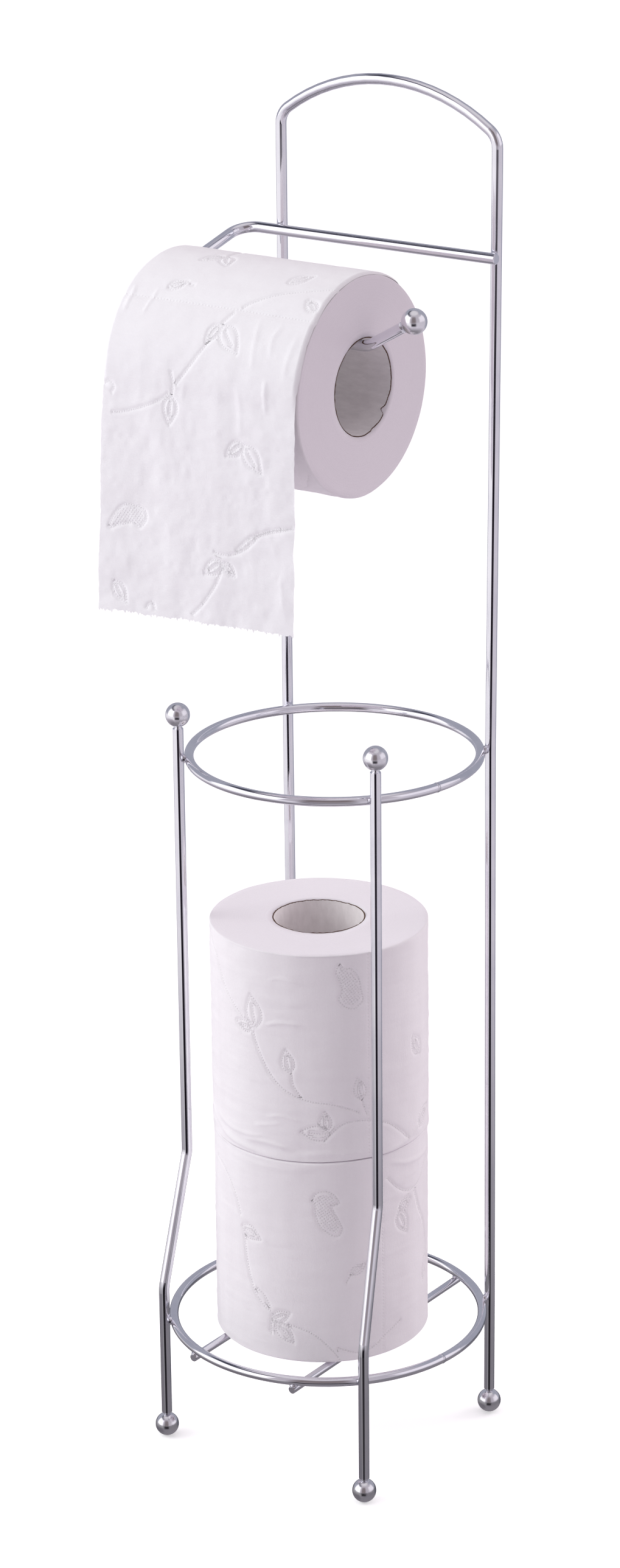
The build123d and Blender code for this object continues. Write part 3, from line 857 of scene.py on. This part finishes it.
# ------------------------------------------------------------------ loose sheet
# The free end of the hanging roll: one sheet and part of the next, still joined at a perforation. It
# lies over the roll's top, leaves it in front and hangs, curling a little forward at its torn edge.
SHEET_START, SHEET_END = -0.034, 0.178  # metres from the roll's top line, over its front and down
sheet_half = 0.0515  # half of its width
sheet_gap = 0.0004  # from the roll's outline to the sheet
rows, cols = 410, 198
row_share = np.linspace(0, 1, rows)[:, None] * np.ones((1, cols))
across = np.ones((rows, 1)) * np.linspace(-1, 1, cols)[None, :]
torn = 0.0016 * -across[-1] + 0.0004 * cloud(across[-1] * 0.05, across[-1] * 0, 0.009, 21)
tooth = np.abs((across[-1] * sheet_half / 0.0034) % 1 - 0.5) * 2
torn += 0.0011 * np.clip((tooth - 0.72) / 0.28, 0, 1) ** 1.3
torn += 0.00025 * np.random.default_rng(22).normal(size=cols)
down = SHEET_START + (SHEET_END + torn[None, :] - SHEET_START) * row_share
edge_wave = 0.0005 * cloud(down, across * 0 + np.sign(across), 0.011, 23)
edge_wave += 0.0002 * cloud(down, across * 0 + np.sign(across), 0.0022, 24)
free = np.clip((down - 0.03) / 0.03, 0, 1)
sideways = across * (sheet_half - 0.0002 * (1 - free)) + edge_wave * np.abs(across) ** 6 * free
reach = hang_radius + sheet_gap
leaves_at = reach * math.pi / 2
angle = np.minimum(down, leaves_at) / reach
below = np.maximum(down - leaves_at, 0)

sheet_places = np.stack([sideways, down], -1).reshape(-1, 2)


def in_metres(shapes):
    """Millimetres across the sheet and down it, as metres."""
    return [[(x / 1000, s / 1000) for x, s in shape] for shape in shapes]


sheet_stems = in_metres([
    [(51, 19), (42, 22), (34, 24.5), (28, 26.6), (21.2, 30.4), (16.2, 33.7), (12.7, 37)],
    [(9.8, 40.4), (6.2, 45.8)],
    [(2.5, 54.2), (-1.3, 59.8), (-5.4, 65.9), (-12.3, 74.8)],
    [(-15.3, 69.6), (-13.9, 73.8), (-14.3, 79)],
    [(-16, 79), (-19.4, 81.8), (-25.8, 85.2), (-33, 88), (-41, 90.5), (-46, 91.2)],
    [(-51, 79.4), (-48.3, 78), (-45.6, 80), (-47, 82.7)],
    [(-17.8, 29.2), (-20.4, 28.7)],
    [(50.5, 129), (44.6, 130), (37.8, 132), (31.7, 134.6), (26.3, 137.7), (21, 143)],
    [(49, 129.5), (34, 134.5), (29.3, 138.5), (24.7, 142.4), (18.5, 145.3), (13, 145.9), (9.3, 145.2)],
    [(13.7, 152), (11.3, 158), (8, 163.5), (3.2, 170), (-2, 175)],
    [(-26.4, 176), (-25.2, 174), (-22.8, 173.6), (-22, 176)],
    [(-40, -30), (-28, -22), (-20, -10), (-18, 3)],
    [(10, -32), (22, -26), (36, -24), (49, -18)]])
sheet_leaves = in_metres([
    [(-29.8, 32.4), (-21.9, 27.6)], [(25.7, 19.5), (34.1, 10.8)], [(5.4, 46.6), (0.5, 55.1)],
    [(7, 46.7), (18, 58.2)], [(-14.7, 80.2), (-15.8, 92.8)], [(48.8, 33.7), (41.6, 28.2)],
    [(24, 95.7), (15, 102.4)], [(24.4, 96), (33.7, 107.6)], [(13.4, 149.4), (4, 156)],
    [(14.6, 149.5), (20.2, 155)], [(-43.6, 166), (-37, 175)], [(-18, 3), (-11, 13)],
    [(-19, 3), (-27, 11)]])
sheet_wings = in_metres([
    [(-47, 141.8), (-44.5, 137), (-41.2, 133), (-37.4, 131), (-32.6, 131.4), (-28.7, 132.3),
     (-27.2, 135.3), (-28.9, 138.8), (-31.3, 140.5), (-34.4, 139), (-37.6, 139.6), (-42.4, 141),
     (-45.7, 142.4)]])
sheet_slits = in_metres([[(-51.2, 38.7), (0, 38.4), (51.2, 38.8)]])
sheet_creases = [
    (in_metres([line])[0], height, width) for line, height, width in (
        ([(-34.4, 33), (-35, 40), (-36.5, 48)], 0.00022, 0.0010),
        ([(-46.8, 33), (-46.5, 40), (-46.8, 48)], 0.0003, 0.0012),
        ([(24, 39.8), (25.5, 52.5), (27, 65)], 0.0002, 0.0015),
        ([(36.8, 41.5), (34, 49), (35, 58)], 0.0002, 0.0015),
        ([(34.7, 66), (35.4, 82)], 0.00034, 0.0013),
        ([(46, 45), (44.2, 57), (43.8, 68)], 0.0002, 0.0016),
        ([(-7.8, 72), (-10, 84)], 0.0002, 0.0016),
        ([(20, 70), (22, 84), (21, 96)], 0.0002, 0.0017),
        ([(44, 150), (46, 166)], 0.0002, 0.0014))]
pressed_by, sheet_sprig, sheet_cells, sheet_slit = press(
    sheet_places, sheet_stems, sheet_leaves, sheet_wings, sheet_slits, sheet_creases)

hangs = np.clip((down - 0.045) / 0.05, 0, 1)
folds = 0.00032 * np.sin(sideways / 0.0052 + 2.5 * cloud(down, sideways, 0.03, 31))
folds *= np.clip(cloud(sideways, down * 0.35, 0.02, 32) + 0.35, 0, 1)
folds += 0.0006 * cloud(sideways, down * 0.3, 0.021, 33)
rumple = 0.00022 * cloud(sideways, down, 0.006, 34) + 0.0001 * cloud(sideways, down, 0.0028, 35)
lift = (0.0002 + (folds + 0.0007) * hangs + rumple * (0.35 + 0.65 * hangs)
        + pressed_by.reshape(down.shape))
lift += 0.00025 * np.exp(-((down - 0.030) / 0.012) ** 2) * (1 + cloud(sideways, down, 0.014, 36))
step_down = np.clip((down - 0.0384) / 0.0035, 0, 1)
lift += 0.00055 * step_down**2 * (3 - 2 * step_down) * np.clip((0.0785 - down) / 0.03, 0, 1)
lift -= 0.00015 * np.exp(-((down - 0.0386) / 0.0006) ** 2)
tucked = np.clip((SHEET_START + 0.007 - down) / 0.007, 0, 1)
lift -= 0.0019 * tucked**2
from_end = sheet_half - np.abs(sideways)
rim_run = np.clip(RIM_ROUND - from_end, 0, 0.9 * RIM_ROUND)
over_rim = RIM_ROUND - np.sqrt(RIM_ROUND**2 - rim_run**2)
over_rim += 0.001 * np.clip(1 - from_end / 0.0016, 0, 1)
lift -= over_rim * (1 - np.clip((down - 0.068) / 0.012, 0, 1))
forward = below / 0.100
curl = forward * (0.0044 - 0.0020 * across) + 0.0012 * forward**2 * across**2
out_y = -np.sin(angle)
out_z = np.where(below > 0, 0.0, np.cos(angle))
x = sideways
y = hang_y + out_y * (reach + lift) - curl
z = hang_z + np.cos(angle) * reach + out_z * lift - below
loose = lattice("loose_sheet_tissue", np.stack([x, y, z], -1))
loose.data.flip_normals()
sheet_tissue = tissue("sheet_tissue", (0.12, 1.0, 1.0), (0.945, 0.942, 0.955),
                      (0.915, 0.905, 0.922), 0.00015, 0.00014, 0.01)
loose.data.materials.append(sheet_tissue)
attach(loose.data, "sprig_track", sheet_sprig)
attach(loose.data, "wing_cells", sheet_cells)
attach(loose.data, "slit_track", sheet_slit)
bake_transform(loose)
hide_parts("tail_sheet")

# ------------------------------------------------------------------ room, light and camera
# A pale table top in a white room. A long soft panel stands to the left and a smaller one to the right.
# The dim side of the room behind the viewer gives the chrome its thin dark line.
floor_mesh = bpy.data.meshes.new("pale_floor")
far_off = 14.0  # metres from the stand to each side of the floor
floor_mesh.from_pydata([(-far_off, -far_off, 0), (far_off, -far_off, 0), (far_off, far_off, 0),
                        (-far_off, far_off, 0)], [], [(0, 1, 2, 3)])
floor = bpy.data.objects.new("pale_floor", floor_mesh)
floor.location.z = cad_box[0].z - 0.0002
bpy.context.scene.collection.objects.link(floor)
floor_paint = bpy.data.materials.new("floor_paint")
floor_paint.use_nodes = True
tree = floor_paint.node_tree
tree.nodes.clear()
ray = tree.nodes.new("ShaderNodeLightPath")
seen = place(tree, "ShaderNodeBsdfDiffuse", {"Color": (0.9, 0.9, 0.9, 1)})
glow = place(tree, "ShaderNodeEmission", {"Color": (1, 1, 1, 1), "Strength": 0.42})
bright = place(tree, "ShaderNodeAddShader", {0: seen.outputs[0], 1: glow.outputs[0]})
felt = place(tree, "ShaderNodeBsdfDiffuse", {"Color": (0.74, 0.70, 0.75, 1)})
on_floor = place(tree, "ShaderNodeTexCoord")
flat_place = place(tree, "ShaderNodeVectorMath", {0: on_floor.outputs["Object"], 1: (1, 1, 0)},
                   operation="MULTIPLY")
from_stand = place(tree, "ShaderNodeVectorMath", {0: flat_place.outputs["Vector"]},
                   operation="LENGTH")
# For rays from the chrome the floor lets the room through, darkened close to the stand: painted shade
# standing in for the stand's shadow on the table.
painted_shade_near_stand = place(tree, "ShaderNodeMapRange", {
    "Value": from_stand.outputs["Value"], "From Min": 0.08, "From Max": 0.85, "To Min": 0.34,
    "To Max": 1.0}, interpolation_type="SMOOTHSTEP")
floor_with_painted_shade = place(tree, "ShaderNodeBsdfTransparent", {"Color": painted_shade_near_stand.outputs["Result"]})
by_gloss = place(tree, "ShaderNodeMixShader", {0: ray.outputs["Is Glossy Ray"],
                                               1: felt.outputs[0], 2: floor_with_painted_shade.outputs[0]})
by_ray = place(tree, "ShaderNodeMixShader", {0: ray.outputs["Is Camera Ray"],
                                             1: by_gloss.outputs[0], 2: bright.outputs[0]})
out = tree.nodes.new("ShaderNodeOutputMaterial")
tree.links.new(by_ray.outputs[0], out.inputs["Surface"])
floor_mesh.materials.append(floor_paint)

view_turn, view_tilt, view_roll = 0.6195, 0.3389, -0.0102  # radians
view_spot = Vector((1.02798, -1.46128, 0.95750))
away = Vector((-math.sin(view_turn) * math.cos(view_tilt),
               math.cos(view_turn) * math.cos(view_tilt), -math.sin(view_tilt)))
level = Vector((math.cos(view_turn), math.sin(view_turn), 0))
upward = level.cross(away)
right = math.cos(view_roll) * level + math.sin(view_roll) * upward
up = -math.sin(view_roll) * level + math.cos(view_roll) * upward
lens = bpy.data.cameras.new("viewer")
viewer = bpy.data.objects.new("viewer", lens)
bpy.context.scene.collection.objects.link(viewer)
viewer.matrix_world = Matrix((
    (right.x, up.x, -away.x, view_spot.x),
    (right.y, up.y, -away.y, view_spot.y),
    (right.z, up.z, -away.z, view_spot.z),
    (0, 0, 0, 1)))
lens.sensor_width = 36.0
lens.lens = 36.0 * 6715.69 / 2576
lens.clip_start, lens.clip_end = 0.05, 60
bpy.context.scene.camera = viewer


def soft_lamp(name, spot, towards, size, watts, spread):
    """A square soft lamp that lights the paper and does not show in the chrome."""
    data = bpy.data.lights.new(name, "AREA")
    data.size, data.energy, data.spread = size, watts, math.radians(spread)
    lamp = bpy.data.objects.new(name, data)
    lamp.location = spot
    aim = Vector(towards) - Vector(spot)
    lamp.rotation_mode = "QUATERNION"
    lamp.rotation_quaternion = aim.to_track_quat("-Z", "Y")
    lamp.visible_glossy = False
    lamp.visible_camera = False
    bpy.context.scene.collection.objects.link(lamp)


soft_lamp("left_lamp", (-0.70, -0.60, 0.72), (0, -0.02, 0.28), 0.55, 3.1, 180)
soft_lamp("back_lamp", (0.34, 0.52, 0.40), (0, -0.01, 0.15), 0.30, 0.24, 70)

room = bpy.data.worlds.new("studio")
bpy.context.scene.world = room
room.use_nodes = True
tree = room.node_tree
tree.nodes.clear()
heading = place(tree, "ShaderNodeTexCoord").outputs["Generated"]
height_of = place(tree, "ShaderNodeSeparateXYZ", {"Vector": heading}).outputs["Z"]
level_only = place(tree, "ShaderNodeVectorMath", {0: heading, 1: (1, 1, 0)}, operation="MULTIPLY")
level_heading = place(tree, "ShaderNodeVectorMath", {0: level_only.outputs["Vector"]},
                      operation="NORMALIZE").outputs["Vector"]


def soft_step(value, begin, end):
    """From 0 at begin to 1 at end, softly; begin may be the larger."""
    low_end, high_end = (0.0, 1.0) if begin < end else (1.0, 0.0)
    return place(tree, "ShaderNodeMapRange", {
        "Value": value, "From Min": min(begin, end), "From Max": max(begin, end),
        "To Min": low_end, "To Max": high_end}, interpolation_type="SMOOTHSTEP").outputs["Result"]


def panel(turn, half_width, soft, low_edge, high_edge, edge_soft=4):
    """A soft-edged panel of the room: degrees left of the viewer, half width, and heights."""
    side = view_turn + math.radians(turn)
    aim = (math.sin(side), -math.cos(side), 0)
    dot = place(tree, "ShaderNodeVectorMath", {0: level_heading, 1: aim}, operation="DOT_PRODUCT")
    mask = soft_step(dot.outputs["Value"], math.cos(math.radians(min(half_width + soft, 180))),
                     math.cos(math.radians(half_width)))
    for height, grows in ((low_edge, True), (high_edge, False)):
        if abs(height) >= 90:
            continue
        near = math.sin(math.radians(height - edge_soft))
        far = math.sin(math.radians(height + edge_soft))
        edge = soft_step(height_of, *((near, far) if grows else (far, near)))
        mask = maths(tree, "MULTIPLY", mask, edge)
    return mask


# What the chrome mirrors: each panel is painted over those before it.
in_chrome = (0.54, 0.50, 0.55, 1)
for turn, half_width, soft, low_edge, high_edge, edge_soft, colour in (
        (180, 75, 30, -90, 60, 6, (0.38, 0.385, 0.45)),  # the back wall and its foot
        (-85, 45, 18, -90, -3, 4, (0.98, 0.95, 0.98)),   # table lit from the left
        (60, 42, 14, -90, 0, 4, (0.66, 0.62, 0.68)),     # table on the right
        (0, 181, 1, -90, -32, 9, (0.72, 0.67, 0.74)),    # table close under the stand
        (-98, 40, 20, -66, -24, 8, (0.52, 0.48, 0.54)),  # table farther to the left
        (-104, 50, 10, 47, 59, 3, (0.06, 0.062, 0.085)),  # dark frame over the long panel
        (-74, 27, 8, -4, 45, 3, (1.50, 1.46, 1.50)),     # long panel on the left
        (78, 24, 10, 2, 42, 4, (0.95, 0.90, 0.96)),      # smaller panel on the right
        (0, 181, 1, 66, 90, 5, (0.74, 0.71, 0.74)),      # ceiling
        (-6, 14, 12, -2, 50, 7, (0.22, 0.185, 0.192)),   # dim room behind the viewer
        (-5, 17, 9, -32, -8, 6, (0.015, 0.012, 0.018))):  # dark table edge in front
    patch = panel(turn, half_width, soft, low_edge, high_edge, edge_soft)
    in_chrome = blend_colours(tree, patch, in_chrome, (*colour, 1))

# What lights the paper, which needs fewer and softer panels.
on_paper = (0.56, 0.495, 0.54, 1)
for turn, half_width, soft, low_edge, high_edge, edge_soft, colour in (
        (-78, 40, 20, -5, 55, 8, (1.18, 1.20, 1.23)),    # long panel on the left
        (78, 26, 14, 0, 46, 6, (0.84, 0.75, 0.81)),      # smaller panel on the right
        (0, 181, 1, 62, 90, 8, (0.92, 0.88, 0.92)),      # white ceiling
        (-6, 20, 14, -46, 50, 6, (0.08, 0.07, 0.08))):   # dark room behind the viewer
    patch = panel(turn, half_width, soft, low_edge, high_edge, edge_soft)
    on_paper = blend_colours(tree, patch, on_paper, (*colour, 1))

path = place(tree, "ShaderNodeLightPath")
for_eye = place(tree, "ShaderNodeBackground", {"Color": (1, 1, 1, 1), "Strength": 1.0})
for_chrome = place(tree, "ShaderNodeBackground", {"Color": in_chrome, "Strength": 1.0})
for_paper = place(tree, "ShaderNodeBackground", {"Color": on_paper, "Strength": 1.06})
felt_or_mirrored = place(tree, "ShaderNodeMixShader", {
    0: path.outputs["Is Glossy Ray"], 1: for_paper.outputs[0], 2: for_chrome.outputs[0]})
chosen = place(tree, "ShaderNodeMixShader", {0: path.outputs["Is Camera Ray"],
                                             1: felt_or_mirrored.outputs[0],
                                             2: for_eye.outputs[0]})
out = tree.nodes.new("ShaderNodeOutputWorld")
tree.links.new(chosen.outputs[0], out.inputs["Surface"])

bpy.context.scene.view_settings.view_transform = "Standard"
